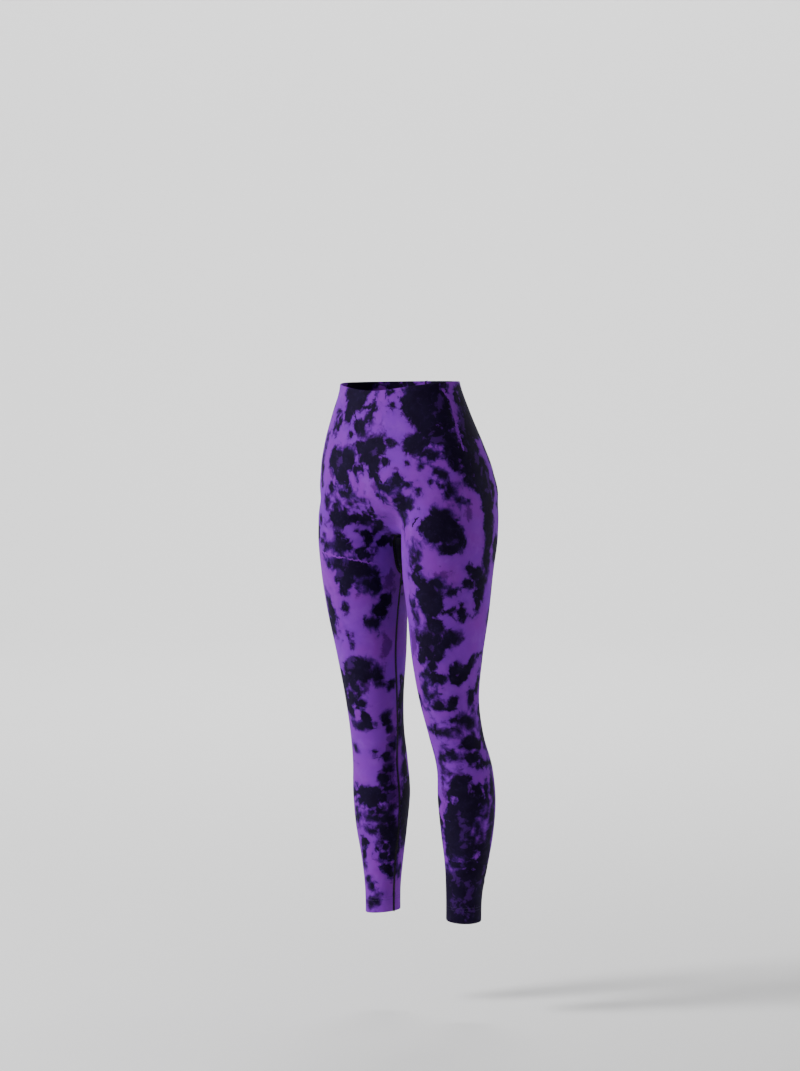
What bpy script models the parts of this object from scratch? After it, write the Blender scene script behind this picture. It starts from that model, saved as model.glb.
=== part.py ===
"""High-waisted stretch leggings, in the filled-out form they take when worn.

The cloth is cut as one body panel: both legs and the front in one, with no
seam at the centre front and none down the sides. It is sewn up the centre
back and down each inseam, and a long gusset closes the fork. The waist and
both ankle hems are turned to the inside.

Metres, +Z up. +X is the wearer's left and -Y is the front. The origin is the
centre of the waist opening.
"""

import math

import bpy
import numpy as np

# Cloth and seams
WALL = 0.0014               # thickness of the knit
SEAM_GAP = 0.0003           # clear space between two edges that are sewn together
PANEL_COLUMNS = 26          # faces round each half of the panel

# Waist edge: level at the sides and back, dipping to the centre front
WAIST_LEVEL = 0.009
WAIST_DIP = 0.0135
WAIST_LEAN = 0.022          # rise of the edge towards the wearer's left, per metre
WAIST_TURNING = 0.035       # depth of the cloth turned in
WAIST_FADE = 0.080          # below this depth the rows of the cloth lie level

# Ankle hems: lower on the outside of the leg, slightly lower in front
HEM_Z = -0.957
HEM_RISE_OUTWARD = -0.077
HEM_RISE_BACKWARD = 0.0255
HEM_TURNING = 0.030
HEM_FADE = 0.070            # above this height over the hem the rows lie level

# Gusset: a blunt oval, cut from the form by a leaning egg. Its tips are level.
GUSSET_TOP = -0.2640        # height of both tips
GUSSET_DEPTH = 0.095        # the egg's reach below them
GUSSET_HALF_WIDTH = 0.028
GUSSET_SLANT = 0.20         # how far forward the egg leans as it goes down
GUSSET_GAP = 0.0007         # clear space round it; more than at the straight seams, as it curves both ways
GUSSET_COLUMNS = 8
FAN_CENTRE = np.array([0.0, 0.006, -0.350])     # point under the fork from which all of the gusset is seen

# Fillets where the trunk and the legs run together
SIDE_FILLET = 0.006
FORK_FILLET = 0.034
FORK_REACH = 0.075          # distance from the middle at which the fork's fillet has thinned to the side's
THIGH_FILLET = 0.010

# Rings of the trunk, waist to fork
TRUNK = np.array([
    # z, half width, front, back, centre y, squareness
    (0.030, 0.112, 0.080, 0.080, -0.004, 2.15),
    (0.000, 0.115, 0.083, 0.083, 0.000, 2.20),
    (-0.045, 0.131, 0.090, 0.092, 0.003, 2.25),
    (-0.100, 0.151, 0.101, 0.106, 0.010, 2.30),
    (-0.150, 0.163, 0.110, 0.118, 0.018, 2.35),
    (-0.195, 0.166, 0.111, 0.124, 0.024, 2.35),
    (-0.222, 0.152, 0.092, 0.112, 0.026, 2.30),
    (-0.243, 0.126, 0.065, 0.088, 0.029, 2.20),
    (-0.257, 0.106, 0.050, 0.072, 0.030, 2.15),
    (-0.265, 0.084, 0.032, 0.050, 0.030, 2.10),
])

# Rings of a leg, from inside the hip down to below the hem. Turn is how far
# forward of the innermost point the inseam runs, in degrees.
LEG = np.array([
    # z, centre x, centre y, half width, front, back, turn
    (-0.120, 0.0860, 0.024, 0.0200, 0.0300, 0.0300, -5),
    (-0.160, 0.0880, 0.024, 0.0600, 0.0820, 0.0860, -5),
    (-0.200, 0.0900, 0.024, 0.0745, 0.1010, 0.1080, -5),
    (-0.260, 0.0920, 0.022, 0.0765, 0.1000, 0.1050, -5),
    (-0.330, 0.0905, 0.021, 0.0755, 0.0900, 0.0880, -4),
    (-0.400, 0.0890, 0.024, 0.0695, 0.0800, 0.0770, 2.5),
    (-0.480, 0.0835, 0.029, 0.0615, 0.0680, 0.0640, 10),
    (-0.560, 0.0830, 0.037, 0.0520, 0.0570, 0.0530, 3.5),
    (-0.620, 0.0875, 0.050, 0.0480, 0.0520, 0.0510, 3),
    (-0.680, 0.0935, 0.0655, 0.0480, 0.0500, 0.0570, 12.5),
    (-0.740, 0.0945, 0.070, 0.0505, 0.0490, 0.0600, 11),
    (-0.800, 0.0950, 0.072, 0.0460, 0.0450, 0.0520, 9),
    (-0.860, 0.0930, 0.073, 0.0375, 0.0380, 0.0415, 13.5),
    (-0.910, 0.0905, 0.071, 0.0315, 0.0345, 0.0360, 13),
    (-0.970, 0.0895, 0.0705, 0.0305, 0.0330, 0.0345, 13),
])

# Rows of the panel: the trunk's, then FORK_ROWS from the gusset's tips to its
# side corners, then LEG_ROWS to the hem's turning, then the hem itself.
TRUNK_ROWS = (0.0, -WAIST_TURNING / 2, -WAIST_TURNING, -0.070, -0.105, -0.140, -0.170, -0.198, -0.222, -0.244)
FORK_ROWS = 8
LEG_ROWS = 15
TIP_ROW = len(TRUNK_ROWS)
CORNER_ROW = TIP_ROW + FORK_ROWS


def between(table, z):
    """Reads a table's columns at the heights z, with smooth (Hermite) curves between its rows."""
    heights = table[::-1, 0]
    values = table[::-1, 1:]
    slopes = np.gradient(values, heights, axis=0)
    z = np.clip(z, heights[0], heights[-1])
    row = np.clip(np.searchsorted(heights, z) - 1, 0, len(heights) - 2)
    step = (heights[row + 1] - heights[row])[..., None]
    t = (z - heights[row])[..., None] / step
    found = (1 + 2 * t) * (1 - t) ** 2 * values[row] + t * (1 - t) ** 2 * step * slopes[row]
    found += (3 - 2 * t) * t ** 2 * values[row + 1] - (1 - t) * t ** 2 * step * slopes[row + 1]
    return np.moveaxis(found, -1, 0)


def beyond_ring(x, y, half_width, front, back, squareness):
    """Distance outside a rounded ring, measured along the line from its centre; negative inside."""
    depth = np.where(y < 0, front, back)
    share = (np.abs(x / half_width) ** squareness + np.abs(y / depth) ** squareness) ** (1 / squareness)
    reach = np.hypot(x, y)
    return reach - reach / np.maximum(share, 1e-9)


def run_together(a, b, fillet):
    """The distance outside two joined forms, with a soft fillet where they meet."""
    share = np.clip(0.5 + 0.5 * (a - b) / fillet, 0, 1)
    return a * (1 - share) + b * share - fillet * share * (1 - share)


def beyond_leg(x, y, z):
    centre_x, centre_y, half_width, front, back, _ = between(LEG, z)
    rise_above = np.maximum(z - LEG[0, 0], 0)
    return beyond_ring(x - centre_x, y - centre_y, half_width, front, back, 2.0) + rise_above


def beyond_form(points):
    """Distance outside the whole garment's outer face: a trunk and two legs."""
    x, y, z = np.moveaxis(points, -1, 0)
    half_width, front, back, centre_y, squareness = between(TRUNK, z)
    across = beyond_ring(x, y - centre_y, half_width, front, back, squareness)
    below = TRUNK[-1, 0] - z
    trunk = np.hypot(np.maximum(across, 0), np.maximum(below, 0)) + np.minimum(np.maximum(across, below), 0)
    legs = run_together(beyond_leg(x, y, z), beyond_leg(-x, y, z), THIGH_FILLET)
    fork_share = np.clip(1 - np.abs(x) / FORK_REACH, 0, 1)
    return run_together(legs, trunk, SIDE_FILLET + (FORK_FILLET - SIDE_FILLET) * fork_share)


def first_face(start, direction, reach=0.30, steps=90):
    """The first point on the form's face along each ray, found by stepping and then halving."""
    start, direction = np.broadcast_arrays(start, direction)
    walk = np.linspace(0, reach, steps)
    sides = beyond_form(start[..., None, :] + direction[..., None, :] * walk[:, None]) > 0
    changed = sides != sides[..., :1]
    step = np.argmax(changed, axis=-1)
    low, high = walk[step - 1], walk[step]
    for _ in range(30):
        middle = (low + high) / 2
        crossed = (beyond_form(start + direction * middle[..., None]) > 0) != sides[..., 0]
        high = np.where(crossed, middle, high)
        low = np.where(crossed, low, middle)
    return start + direction * high[..., None]


def outward(points, reach=0.001):
    """Unit normals of the form, from small steps to each side."""
    slopes = [beyond_form(points + reach * axis) - beyond_form(points - reach * axis) for axis in np.eye(3)]
    normals = np.stack(slopes, axis=-1)
    return normals / np.linalg.norm(normals, axis=-1, keepdims=True)


def seen_from_fork(tilt, spread):
    """Where rays from the point under the fork meet the cloth."""
    direction = [np.sin(spread), np.cos(spread) * np.sin(tilt), np.cos(spread) * np.cos(tilt)]
    return first_face(FAN_CENTRE, np.stack(direction, axis=-1), reach=0.14)


def gusset_tips():
    """The gusset's front and back tips, on the centre line."""
    start = np.array([0.0, between(TRUNK, np.array(GUSSET_TOP))[3], GUSSET_TOP])
    return first_face(start, np.array([(0.0, -1.0, 0.0), (0.0, 1.0, 0.0)]))


def beyond_gusset(points, tips):
    """More than zero outside the egg that cuts the gusset from the form."""
    x, y, z = np.moveaxis(points, -1, 0)
    depth = GUSSET_TOP - z
    middle = tips[:, 1].mean() - GUSSET_SLANT * depth
    length = (tips[1, 1] - tips[0, 1]) / 2
    return (x / GUSSET_HALF_WIDTH) ** 2 + ((y - middle) / length) ** 2 + depth / GUSSET_DEPTH - 1


def gusset_corner(tips):
    """The gusset's left side corner: the lowest point of its seam, where the inseam starts."""
    depth = GUSSET_DEPTH
    for _ in range(40):
        level = np.array([0.0, tips[:, 1].mean() - GUSSET_SLANT * depth, GUSSET_TOP - depth])
        corner = first_face(level, np.array([1.0, 0.0, 0.0]), reach=0.05)
        depth = GUSSET_DEPTH * (1 - (corner[0] / GUSSET_HALF_WIDTH) ** 2)
    return corner


def soften(x):
    """A smooth step from 0 to 1."""
    x = np.clip(x, 0, 1)
    return x * x * (3 - 2 * x)


def rays(angles):
    """Level directions at angles from the innermost one, forwards being positive."""
    return np.stack([-np.cos(angles), -np.sin(angles), 0 * angles], axis=-1)


def gusset_seam(axis, tips, sign):
    """The angle at which the gusset's seam crosses a row, sweeping inwards from front (sign -1) or back (sign 1)."""
    sweep = np.linspace(-sign * math.pi / 2, sign * math.pi / 12, 120)
    inside = beyond_gusset(first_face(axis, rays(sweep)), tips) < 0
    first = int(np.argmax(inside))
    low, high = sweep[first - 1], sweep[first]
    for _ in range(24):
        middle = (low + high) / 2
        if beyond_gusset(first_face(axis, rays(np.array(middle))), tips) < 0:
            high = middle
        else:
            low = middle
    return high


def panel_edge(number, axis, tips, corner, turn, radius, sign):
    """The angle at which a row meets its front (sign -1) or back (sign 1) edge, from the innermost direction."""
    if number > CORNER_ROW:
        return turn - sign * SEAM_GAP / 2 / radius
    if number == CORNER_ROW:
        return math.atan2(axis[1] - corner[1], axis[0] - corner[0]) - sign * SEAM_GAP / 2 / radius
    if TIP_ROW < number:
        return gusset_seam(axis, tips, sign)
    edge = first_face(axis * (0, 1, 1), np.array([0.0, sign, 0.0]))
    return math.atan2(axis[1] - edge[1], axis[0] - edge[0])


def half_panel():
    """Outer face of the left half of the panel: rows of points from its front edge to its back edge."""
    tips = gusset_tips()
    corner = gusset_corner(tips)
    share = (1 - np.cos(np.linspace(0, math.pi, FORK_ROWS + 1))) / 2
    fork = GUSSET_TOP + (corner[2] - GUSSET_TOP) * share
    leg = np.linspace(corner[2], HEM_Z + HEM_TURNING, LEG_ROWS + 1)[1:]
    rows = []
    for number, height in enumerate([*TRUNK_ROWS, *fork, *leg, HEM_Z]):
        centre_x, centre_y, radius, _, _, turn = between(LEG, np.array(height))
        trunk_y = between(TRUNK, np.array(height))[3]
        inward = soften(height / GUSSET_TOP)
        axis = np.array([centre_x * inward, trunk_y + (centre_y - trunk_y) * inward, height])
        front, back = (
            panel_edge(number, axis, tips, corner, math.radians(turn), radius, sign) for sign in (-1, 1)
        )
        angles = np.linspace(front, back + 2 * math.pi, PANEL_COLUMNS + 1)
        direction = rays(angles)
        start = np.repeat(axis[None], len(angles), axis=0)
        waist = WAIST_LEVEL - WAIST_DIP * np.maximum(np.sin(angles), 0) ** 2
        start[:, 2] += waist * soften(1 + height / WAIST_FADE)
        level = first_face(start, direction) - axis
        hem = HEM_RISE_OUTWARD * level[:, 0] + HEM_RISE_BACKWARD * level[:, 1]
        start[:, 2] += hem * soften(1 - (height - HEM_Z) / HEM_FADE)
        points = first_face(start, direction)
        if number <= TIP_ROW:
            points[0, 0], points[-1, 0] = 0.0, SEAM_GAP / 2
        rows.append(points)
    return np.array(rows)


def gusset_points(panel):
    """Outer face of the gusset: lines of points from its right seam to its left, front tip to back tip."""
    seam = np.concatenate([panel[TIP_ROW:CORNER_ROW + 1, 0], panel[TIP_ROW:CORNER_ROW, -1][::-1]])
    seam[[0, -1], 0] = 0.0
    along = np.gradient(seam, axis=0)
    along[0], along[-1] = (1, 0, 0), (-1, 0, 0)
    inward = np.cross(along, outward(seam))
    away = seam + inward / np.linalg.norm(inward, axis=-1, keepdims=True) * GUSSET_GAP - FAN_CENTRE
    away[[0, -1], 0] = 0.0
    tilt = np.arctan2(away[:, 1], away[:, 2])
    spread = np.arcsin(away[:, 0] / np.linalg.norm(away, axis=-1))
    across = np.linspace(-1, 1, GUSSET_COLUMNS + 1)
    ridge = np.linspace(tilt[0], tilt[-1], len(tilt))
    tilts = ridge[:, None] + (tilt - ridge)[:, None] * across ** 2
    return seen_from_fork(tilts, spread[:, None] * across)


def lean(points):
    """Lifts the waist's wearer's-left side a little, as it is worn."""
    points = points.copy()
    points[..., 2] += WAIST_LEAN * points[..., 0] * soften(1 + points[..., 2] / WAIST_FADE)
    return points


def sheet(*grids):
    """Joins grids of points into one sheet: coincident points are shared, and flat faces are dropped."""
    numbers, points, faces = {}, [], []
    for grid in grids:
        index = np.empty(grid.shape[:2], dtype=int)
        for place in np.ndindex(index.shape):
            key = tuple(np.round(grid[place], 7) + 0.0)
            index[place] = numbers.setdefault(key, len(points))
            if index[place] == len(points):
                points.append(grid[place])
        for row, column in np.ndindex(index.shape[0] - 1, index.shape[1] - 1):
            ring = (index[row, column], index[row + 1, column], index[row + 1, column + 1], index[row, column + 1])
            faces.append(list(dict.fromkeys(int(i) for i in ring)))
    return np.array(points), [face for face in faces if len(face) > 2]


def wall(name, material, grids, outside=0.0):
    """A closed solid from grids on the form's face: their cloth lies from outside to WALL further in."""
    points, faces = sheet(*grids)
    normals = outward(points)
    normals[points[:, 0] == 0, 0] = 0.0
    outer = lean(points - normals * outside)
    inner = lean(points - normals * (outside + WALL))
    count = len(points)
    sides = {(a, b) for face in faces for a, b in zip(face, face[1:] + face[:1])}
    rim = [(b, a, a + count, b + count) for a, b in sides if (b, a) not in sides]
    backs = [[i + count for i in reversed(face)] for face in faces]
    mesh = bpy.data.meshes.new(name)
    mesh.from_pydata([*map(tuple, outer), *map(tuple, inner)], [], faces + backs + sorted(rim))
    mesh.shade_smooth()
    mesh.set_sharp_from_angle(angle=math.radians(50))
    mesh.materials.append(material)
    solid = bpy.data.objects.new(name, mesh)
    bpy.context.scene.collection.objects.link(solid)
    return solid


def knit(name, colour, roughness):
    material = bpy.data.materials.new(name)
    material.use_nodes = True
    shader = material.node_tree.nodes["Principled BSDF"]
    shader.inputs["Base Color"].default_value = (*colour, 1)
    shader.inputs["Roughness"].default_value = roughness
    shader.inputs["Metallic"].default_value = 0.0
    return material


def mirrored(grid):
    """The same grid on the wearer's right, turned so that its faces still point out."""
    return (grid * (-1, 1, 1))[:, ::-1]


def main():
    for old in list(bpy.data.objects):
        bpy.data.objects.remove(old)
    dyed = knit("dyed_knit", (0.16, 0.06, 0.42), 0.75)
    turned = knit("dyed_knit_reverse", (0.13, 0.05, 0.34), 0.85)
    left = half_panel()
    right = mirrored(left)
    under = WALL + SEAM_GAP
    waist_rows, hem_rows = slice(0, 3), slice(-2, None)
    wall("body_panel", dyed, [left, right])
    wall("crotch_gusset", dyed, [gusset_points(left)])
    wall("waist_turning", turned, [left[waist_rows], right[waist_rows]], under)
    wall("left_hem_turning", turned, [left[hem_rows]], under)
    wall("right_hem_turning", turned, [right[hem_rows]], under)


main()
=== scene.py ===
# %% [markdown]
# # High-waisted tie-dyed leggings
#
# The leggings are a tube of stretch knit that splits into two. They are shown
# hollow, in the form they take when worn: open at the waist and at both
# ankles. The cloth is cut as one panel, sewn up the centre back and down each
# inseam, and a blunt gusset closes the fork. Waist and hems are turned in.
#
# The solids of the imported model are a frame: each piece of cloth made here
# lies on one of them and takes its place.

# %% Load the frame
import functools
import math

import bmesh
import bpy
import numpy as np
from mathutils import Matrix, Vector, noise
from mathutils.kdtree import KDTree


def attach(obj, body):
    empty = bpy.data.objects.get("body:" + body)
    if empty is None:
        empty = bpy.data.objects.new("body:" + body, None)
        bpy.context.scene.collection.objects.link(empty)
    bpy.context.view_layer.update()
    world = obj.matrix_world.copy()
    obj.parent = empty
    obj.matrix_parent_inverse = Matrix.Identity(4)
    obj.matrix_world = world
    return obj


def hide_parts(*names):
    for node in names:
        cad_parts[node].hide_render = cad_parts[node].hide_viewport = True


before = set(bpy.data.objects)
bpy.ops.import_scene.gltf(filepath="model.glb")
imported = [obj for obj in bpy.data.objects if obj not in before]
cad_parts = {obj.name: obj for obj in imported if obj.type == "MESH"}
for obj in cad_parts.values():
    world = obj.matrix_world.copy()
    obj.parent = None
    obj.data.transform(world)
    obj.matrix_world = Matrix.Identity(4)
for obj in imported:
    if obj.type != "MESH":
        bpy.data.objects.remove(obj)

# %% [markdown]
# ## The camera
#
# A view from the front and the wearer's left, a little above the waist, with
# a long lens. It is set first, so that every later step can be looked at.

# %% Camera
camera_data = bpy.data.cameras.new("camera")
camera_data.sensor_fit = "VERTICAL"
camera_data.sensor_height = 36.0
camera_data.lens = 122.7
camera = bpy.data.objects.new("camera", camera_data)
bpy.context.scene.collection.objects.link(camera)
AIM = Vector((0.0, 0.0, -0.2645))
azimuth, elevation = math.radians(36.0), math.radians(4.08)
back_to_camera = Vector((
    math.sin(azimuth) * math.cos(elevation),
    -math.cos(azimuth) * math.cos(elevation),
    math.sin(elevation),
))
camera.location = AIM + 6.5 * back_to_camera
camera.rotation_euler = back_to_camera.to_track_quat("Z", "Y").to_euler()
bpy.context.scene.camera = camera
print("camera at", [round(v, 2) for v in camera.location])

# %% [markdown]
# ## The form the cloth takes
#
# A stretch garment has the form of what fills it: a trunk and two legs. Each
# is a stack of rings from a short table, read with smooth curves between the
# rows. Where two of them meet, their distances run together in a soft fillet,
# so hip, seat and fork have no corners.

# %% Sizes of the form
def smooth_table(rows):
    """Heights, values and slopes of a table, lowest row first."""
    table = np.array(rows)[::-1]
    return table[:, 0], table[:, 1:], np.gradient(table[:, 1:], table[:, 0], axis=0)


WALL = 0.0014
SEAM_GAP = 0.0003
WAIST_LEVEL, WAIST_DIP, WAIST_LEAN = 0.009, 0.0135, 0.022
WAIST_TURNING, WAIST_FADE = 0.035, 0.080
HEM_Z, HEM_RISE_OUTWARD, HEM_RISE_BACKWARD = -0.957, -0.077, 0.0255
HEM_TURNING, HEM_FADE = 0.030, 0.070
GUSSET_TOP, GUSSET_DEPTH, GUSSET_HALF_WIDTH, GUSSET_SLANT = -0.2640, 0.095, 0.028, 0.20
FAN_CENTRE = np.array([0.0, 0.006, -0.350])
SIDE_FILLET, FORK_FILLET, FORK_REACH, THIGH_FILLET = 0.016, 0.034, 0.075, 0.010
TRUNK = smooth_table([
    # z, half width, front, back, centre y, squareness
    (0.030, 0.112, 0.080, 0.080, -0.004, 2.15),
    (0.000, 0.115, 0.083, 0.083, 0.000, 2.20),
    (-0.045, 0.131, 0.090, 0.092, 0.003, 2.25),
    (-0.100, 0.151, 0.101, 0.106, 0.010, 2.30),
    (-0.150, 0.163, 0.110, 0.118, 0.018, 2.35),
    (-0.195, 0.164, 0.111, 0.124, 0.024, 2.35),
    (-0.222, 0.148, 0.092, 0.112, 0.026, 2.30),
    (-0.243, 0.122, 0.065, 0.088, 0.029, 2.20),
    (-0.257, 0.104, 0.050, 0.072, 0.030, 2.15),
    (-0.265, 0.084, 0.032, 0.050, 0.030, 2.10),
])
LEG = smooth_table([
    # z, centre x, centre y, half width, front, back, turn of the inseam
    (-0.120, 0.0860, 0.024, 0.0200, 0.0300, 0.0300, -5),
    (-0.160, 0.0880, 0.024, 0.0560, 0.0760, 0.0800, -5),
    (-0.200, 0.0900, 0.024, 0.0715, 0.0980, 0.1040, -5),
    (-0.260, 0.0920, 0.022, 0.0760, 0.1000, 0.1050, -5),
    (-0.330, 0.0905, 0.021, 0.0755, 0.0900, 0.0880, -4),
    (-0.400, 0.0890, 0.024, 0.0695, 0.0800, 0.0770, 2.5),
    (-0.480, 0.0835, 0.029, 0.0615, 0.0680, 0.0640, 10),
    (-0.560, 0.0830, 0.037, 0.0520, 0.0570, 0.0530, 3.5),
    (-0.620, 0.0875, 0.050, 0.0480, 0.0520, 0.0510, 3),
    (-0.680, 0.0935, 0.0655, 0.0480, 0.0500, 0.0570, 12.5),
    (-0.740, 0.0945, 0.070, 0.0505, 0.0490, 0.0600, 11),
    (-0.800, 0.0950, 0.072, 0.0460, 0.0450, 0.0520, 9),
    (-0.860, 0.0930, 0.073, 0.0375, 0.0380, 0.0415, 13.5),
    (-0.910, 0.0905, 0.071, 0.0315, 0.0345, 0.0360, 13),
    (-0.970, 0.0895, 0.0705, 0.0305, 0.0330, 0.0345, 13),
])
print("rings:", len(TRUNK[0]), "of the trunk and", len(LEG[0]), "of a leg")


# %% Distance outside the form
def between(table, z):
    """Reads a table's columns at the heights z, with smooth curves between its rows."""
    heights, values, slopes = table
    z = np.clip(z, heights[0], heights[-1])
    row = np.clip(np.searchsorted(heights, z) - 1, 0, len(heights) - 2)
    step = (heights[row + 1] - heights[row])[..., None]
    t = (z - heights[row])[..., None] / step
    found = (1 + 2 * t) * (1 - t) ** 2 * values[row] + t * (1 - t) ** 2 * step * slopes[row]
    found += (3 - 2 * t) * t ** 2 * values[row + 1] - (1 - t) * t ** 2 * step * slopes[row + 1]
    return np.moveaxis(found, -1, 0)


def beyond_ring(x, y, half_width, front, back, squareness):
    depth = np.where(y < 0, front, back)
    share = (np.abs(x / half_width) ** squareness + np.abs(y / depth) ** squareness) ** (1 / squareness)
    reach = np.hypot(x, y)
    return reach - reach / np.maximum(share, 1e-9)


def run_together(a, b, fillet):
    share = np.clip(0.5 + 0.5 * (a - b) / fillet, 0, 1)
    return a * (1 - share) + b * share - fillet * share * (1 - share)


def beyond_leg(x, y, z):
    centre_x, centre_y, half_width, front, back, _ = between(LEG, z)
    rise_above = np.maximum(z - LEG[0][-1], 0)
    return beyond_ring(x - centre_x, y - centre_y, half_width, front, back, 2.0) + rise_above


def beyond_form(points):
    """Distance outside the worn form: more than zero outside, less inside."""
    x, y, z = np.moveaxis(points, -1, 0)
    half_width, front, back, centre_y, squareness = between(TRUNK, z)
    across = beyond_ring(x, y - centre_y, half_width, front, back, squareness)
    below = TRUNK[0][0] - z
    trunk = np.hypot(np.maximum(across, 0), np.maximum(below, 0)) + np.minimum(np.maximum(across, below), 0)
    legs = run_together(beyond_leg(x, y, z), beyond_leg(-x, y, z), THIGH_FILLET)
    fork_share = np.clip(1 - np.abs(x) / FORK_REACH, 0, 1)
    return run_together(legs, trunk, SIDE_FILLET + (FORK_FILLET - SIDE_FILLET) * fork_share)


def first_face(start, direction, reach=0.24, steps=48):
    """The first point on the form's face along each ray: stepping, then halving."""
    start, direction = np.broadcast_arrays(start, direction)
    walk = np.linspace(0, reach, steps)
    sides = beyond_form(start[..., None, :] + direction[..., None, :] * walk[:, None]) > 0
    changed = sides != sides[..., :1]
    step = np.argmax(changed, axis=-1)
    low, high = walk[step - 1], walk[step]
    for _ in range(18):
        middle = (low + high) / 2
        crossed = (beyond_form(start + direction * middle[..., None]) > 0) != sides[..., 0]
        high = np.where(crossed, middle, high)
        low = np.where(crossed, low, middle)
    return start + direction * high[..., None]


def outward(points, reach=0.002):
    """Unit normals of the form."""
    slopes = [beyond_form(points + reach * axis) - beyond_form(points - reach * axis) for axis in np.eye(3)]
    normals = np.stack(slopes, axis=-1)
    return normals / np.linalg.norm(normals, axis=-1, keepdims=True)


print("half girth at the hip:", round(float(between(TRUNK, np.array(-0.15))[0]), 3), "m")


# %% [markdown]
# ## Rows and columns of the panel
#
# Each half of the panel is a grid. Its rows are level rings, looked out from
# an axis that stands in the middle of the waist and bends into the leg, and
# its columns run from the front edge to the back edge. Near the fork the
# edges are where the gusset's seam crosses the row.

# %% Edges of the panel
def rays(angles):
    """Level directions, at angles counted from the innermost one and forwards first."""
    return np.stack([-np.cos(angles), -np.sin(angles), 0 * angles], axis=-1)


def soften(x):
    x = np.clip(x, 0, 1)
    return x * x * (3 - 2 * x)


def gusset_tips():
    start = np.array([0.0, between(TRUNK, np.array(GUSSET_TOP))[3], GUSSET_TOP])
    return first_face(start, np.array([(0.0, -1.0, 0.0), (0.0, 1.0, 0.0)]))


def beyond_gusset(points):
    """More than zero outside the leaning egg that cuts the gusset from the form."""
    x, y, z = np.moveaxis(points, -1, 0)
    depth = GUSSET_TOP - z
    middle = TIPS[:, 1].mean() - GUSSET_SLANT * depth
    length = (TIPS[1, 1] - TIPS[0, 1]) / 2
    return (x / GUSSET_HALF_WIDTH) ** 2 + ((y - middle) / length) ** 2 + depth / GUSSET_DEPTH - 1


def gusset_corner():
    """The gusset's left side corner, where the inseam starts."""
    depth = GUSSET_DEPTH
    for _ in range(40):
        level = np.array([0.0, TIPS[:, 1].mean() - GUSSET_SLANT * depth, GUSSET_TOP - depth])
        corner = first_face(level, np.array([1.0, 0.0, 0.0]), reach=0.05)
        depth = GUSSET_DEPTH * (1 - (corner[0] / GUSSET_HALF_WIDTH) ** 2)
    return corner


def gusset_seam(axis, sign):
    """The angle at which the gusset's seam crosses a row, swept from front (-1) or back (1)."""
    sweep = np.linspace(-sign * math.pi / 2, sign * math.pi / 12, 120)
    inside = beyond_gusset(first_face(axis, rays(sweep))) < 0
    first = int(np.argmax(inside))
    low, high = sweep[first - 1], sweep[first]
    for _ in range(16):
        middle = (low + high) / 2
        if beyond_gusset(first_face(axis, rays(np.array(middle)))) < 0:
            high = middle
        else:
            low = middle
    return high


TIPS = gusset_tips()
CORNER = gusset_corner()
print("gusset: tips at", TIPS.round(3).tolist(), "side corner at", CORNER.round(3).tolist())

# %% Grid of the left half
TRUNK_STEPS, FORK_STEPS, LEG_STEPS, COLUMNS = 79, 20, 183, 134
EDGE = (0.0, 0.0005, 0.0012, 0.0021, 0.0032, 0.0046, 0.0066)      # columns beside a seam, in metres from it
RIM = (0.0, 0.0003, 0.0009, 0.0018)      # depths of the extra rows that round an edge over
fork_share = (1 - np.cos(np.linspace(0, math.pi, FORK_STEPS + 1))) / 2
LEVELS = np.concatenate([
    -np.array(RIM),
    np.linspace(0, GUSSET_TOP, TRUNK_STEPS + 1)[1:],
    GUSSET_TOP + (CORNER[2] - GUSSET_TOP) * fork_share[1:],
    np.linspace(CORNER[2], HEM_Z, LEG_STEPS + 1)[1:-1],
    HEM_Z + np.array(RIM)[::-1],
])
TIP_ROW = len(RIM) - 1 + TRUNK_STEPS
CORNER_ROW = TIP_ROW + FORK_STEPS
HEM_ROW = len(LEVELS) - 1


def edge_angle(number, axis, turn, radius, sign):
    if number > CORNER_ROW:
        return turn - sign * SEAM_GAP / 2 / radius
    if number == CORNER_ROW:
        return math.atan2(axis[1] - CORNER[1], axis[0] - CORNER[0]) - sign * SEAM_GAP / 2 / radius
    if number > TIP_ROW:
        return gusset_seam(axis, sign)
    edge = first_face(axis * (0, 1, 1), np.array([0.0, sign, 0.0]))
    return math.atan2(axis[1] - edge[1], axis[0] - edge[0])


def half_panel():
    """Rows of points on the form, and for each row the angles of its columns."""
    rows = []
    for number, height in enumerate(LEVELS):
        centre_x, centre_y, radius, _, _, turn = between(LEG, np.array(height))
        trunk_y = between(TRUNK, np.array(height))[3]
        inward = soften(height / GUSSET_TOP)
        axis = np.array([centre_x * inward, trunk_y + (centre_y - trunk_y) * inward, height])
        front, back = (edge_angle(number, axis, math.radians(turn), radius, sign) for sign in (-1, 1))
        half_girth = math.pi * max(radius, 0.030) * (1 + 0.55 * (1 - inward))
        beside = np.array(EDGE) / half_girth
        shares = np.concatenate([beside, np.linspace(beside[-1], 1 - beside[-1], COLUMNS - 11)[1:-1], 1 - beside[::-1]])
        angles = front + (back + 2 * math.pi - front) * shares
        direction = rays(angles)
        start = np.repeat(axis[None], len(angles), axis=0)
        waist = WAIST_LEVEL - WAIST_DIP * np.maximum(np.sin(angles), 0) ** 2
        start[:, 2] += waist * soften(1 + height / WAIST_FADE)
        if height < HEM_Z + HEM_FADE:
            level = first_face(start, direction) - axis
            hem = HEM_RISE_OUTWARD * level[:, 0] + HEM_RISE_BACKWARD * level[:, 1]
            start[:, 2] += hem * soften(1 - (height - HEM_Z) / HEM_FADE)
        points = first_face(start, direction)
        if number <= TIP_ROW:
            points[0, 0] = 0.0
            points[-1, 0] = SEAM_GAP / 2
        rows.append(points)
    return np.array(rows)


LEFT = half_panel()
print("panel half:", LEFT.shape[0], "rows of", LEFT.shape[1], "points")


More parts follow.
